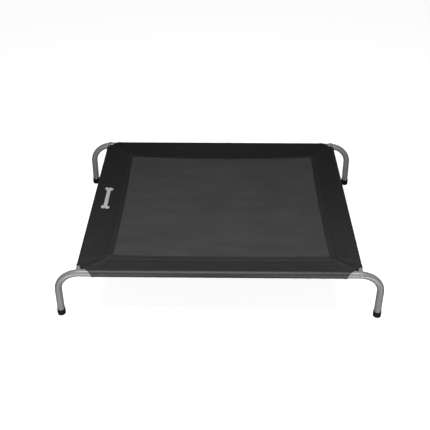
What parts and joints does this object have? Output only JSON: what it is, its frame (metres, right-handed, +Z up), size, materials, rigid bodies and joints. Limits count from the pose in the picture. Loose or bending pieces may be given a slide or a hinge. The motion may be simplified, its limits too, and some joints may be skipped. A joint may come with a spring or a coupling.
{
  "type": "raised dog bed",
  "caption": "Raised dog bed: a bolted frame of silver steel tube on splayed legs with rubber feet, and a stretched dark mesh panel with border sleeves.",
  "frame": {"origin": "on the floor under the middle of the bed", "axes": "+X along the length towards the right-hand end, +Y from the front rail to the rear rail, +Z up"},
  "size_m": [1.1034, 0.8016, 0.2024],
  "materials": {
    "powder_coated_tube": "silver powder coat, satin, fine orange peel",
    "zinc_steel": "zinc plated, bright",
    "grey_plastic": "moulded, satin",
    "black_rubber": "matt moulded rubber",
    "border_cloth": "coated plain-weave cloth, charcoal, slight sheen",
    "mesh_cloth": "open coated-yarn mesh, dark grey, matt"
  },
  "bodies": {
    "root": {"front_rail_left": "powder_coated_tube", "front_rail_right": "powder_coated_tube", "rear_rail_left": "powder_coated_tube", "rear_rail_right": "powder_coated_tube", "left_crossbar": "powder_coated_tube", "right_crossbar": "powder_coated_tube", "front_left_insert": "zinc_steel", "front_right_insert": "zinc_steel", "rear_left_insert": "zinc_steel", "rear_right_insert": "zinc_steel", "front_left_washer": "grey_plastic", "front_right_washer": "grey_plastic", "rear_left_washer": "grey_plastic", "rear_right_washer": "grey_plastic", "front_left_bolt": "zinc_steel", "front_right_bolt": "zinc_steel", "rear_left_bolt": "zinc_steel", "rear_right_bolt": "zinc_steel", "front_left_foot": "black_rubber", "front_right_foot": "black_rubber", "rear_left_foot": "black_rubber", "rear_right_foot": "black_rubber", "front_border_sleeve": "border_cloth", "rear_border_sleeve": "border_cloth", "left_border_sleeve": "border_cloth", "right_border_sleeve": "border_cloth", "mesh_panel": "mesh_cloth"}
  },
  "joints": []
}
